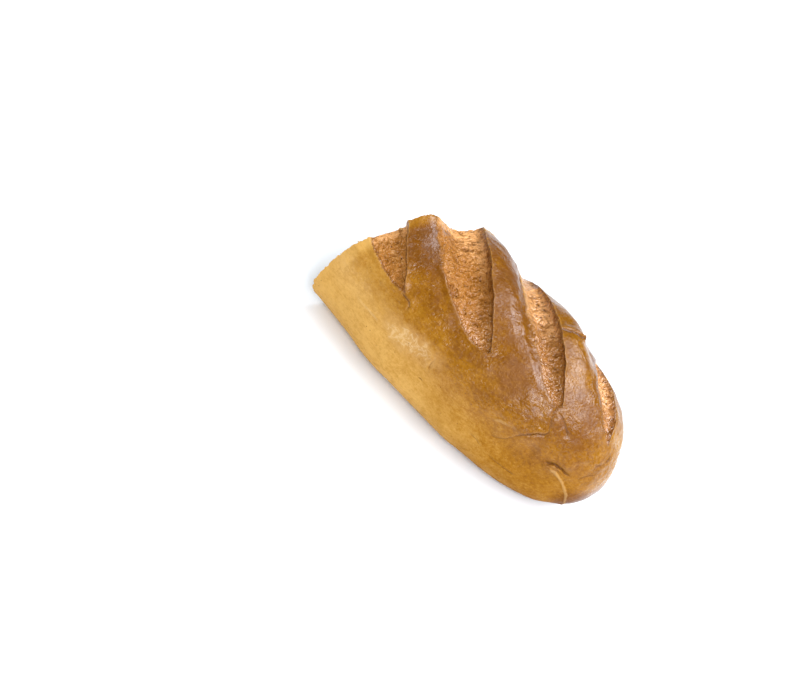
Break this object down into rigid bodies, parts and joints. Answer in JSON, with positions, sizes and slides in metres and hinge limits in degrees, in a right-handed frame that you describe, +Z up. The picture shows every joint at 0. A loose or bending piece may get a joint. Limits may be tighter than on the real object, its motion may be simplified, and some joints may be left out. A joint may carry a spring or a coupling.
{
  "type": "half loaf of white bread",
  "caption": "Half of a long white loaf, cut across with a slanted pale crumb face, with a glossy brown crust, diagonal torn slashes over a round crown, and a flat underside.",
  "frame": {"origin": "middle of the part's bounding box in plan, at the flat underside", "axes": "+X along the loaf from the cut face to the baked heel, +Y across it, +Z up"},
  "size_m": [0.163, 0.0932, 0.0728],
  "materials": {
    "crust": "baked bread crust, semi-gloss on the crown and matte on the flanks and underside",
    "crumb": "soft open white crumb, matte"
  },
  "bodies": {
    "root": {"half_loaf": "crust"}
  },
  "joints": []
}
